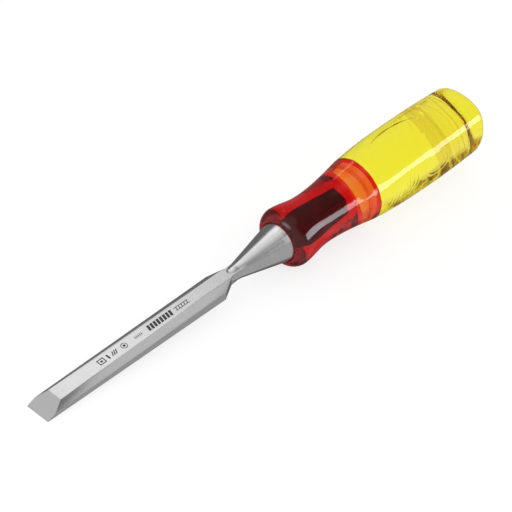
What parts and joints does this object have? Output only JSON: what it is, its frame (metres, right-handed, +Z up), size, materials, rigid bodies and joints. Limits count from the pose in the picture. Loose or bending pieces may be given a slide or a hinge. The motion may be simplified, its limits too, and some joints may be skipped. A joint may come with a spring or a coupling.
{
  "type": "bench chisel",
  "caption": "Bevel-edge bench chisel: narrow ground steel blade with a turned bolster cone, translucent red front sleeve and a clear yellow squared grip with a strike cap",
  "frame": {"origin": "centre of the bounding box's underside, in the plane the chisel rests on", "axes": "+X from the cutting edge to the striking end, +Y to the left seen from the cutting edge end looking at the handle, +Z up, away from the flat back of the blade; the handle axis rises 3.7 degrees towards the striking end because the chisel rests on its cutting edge and the sleeve's bulge"},
  "size_m": [0.2724, 0.0332, 0.0376],
  "materials": {
    "steel": "ground flats, satin turned cone",
    "red_acetate": "polished, translucent red",
    "yellow_acetate": "polished, clear yellow",
    "cap_acetate": "polished, clear yellow"
  },
  "bodies": {
    "root": {"blade": "steel", "front_sleeve": "red_acetate", "handle_body": "yellow_acetate", "strike_cap": "cap_acetate"}
  },
  "joints": []
}
